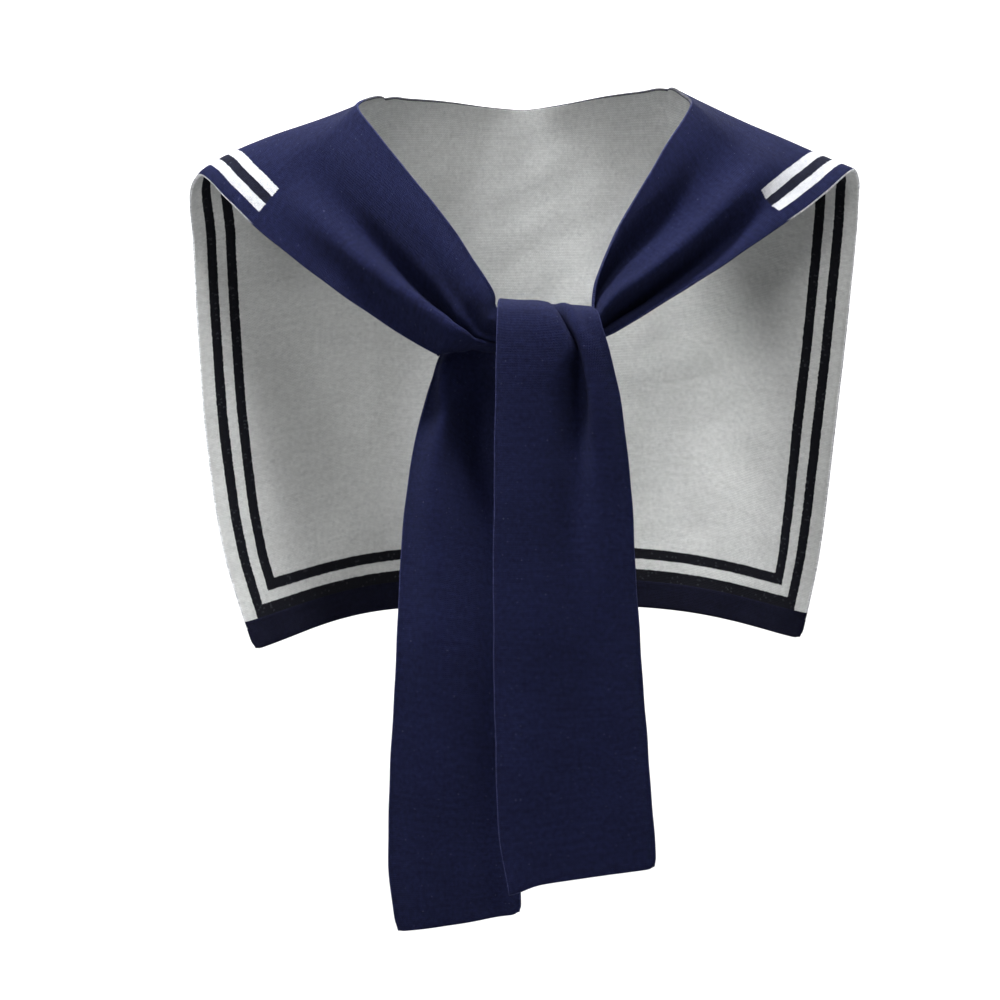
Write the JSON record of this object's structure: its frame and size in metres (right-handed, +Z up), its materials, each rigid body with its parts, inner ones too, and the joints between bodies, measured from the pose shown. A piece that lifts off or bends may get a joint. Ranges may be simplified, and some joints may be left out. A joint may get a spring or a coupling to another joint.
{
  "type": "sailor collar",
  "caption": "Knitted sailor collar: a square back cape with a hem band and long arms that come over the shoulders, cross in a half knot and hang down the front.",
  "frame": {"origin": "middle of the neck opening, level with the sides of the neck, where the collar sits on its wearer", "axes": "+Z up, +X to the viewer's right, +Y away from the viewer, towards the back cape"},
  "size_m": [0.4242, 0.1722, 0.5222],
  "materials": {
    "double_knit": "matt double-face knit, navy outside with white stripes, pale grey inside with navy stripes",
    "hem_knit": "matt navy tubular knit"
  },
  "bodies": {
    "root": {"back_cape": "double_knit", "hem_band": "hem_knit", "left_lapel": "double_knit", "right_lapel": "double_knit", "knot_wrap": "double_knit", "front_tail": "double_knit", "rear_tail": "double_knit"}
  },
  "joints": []
}
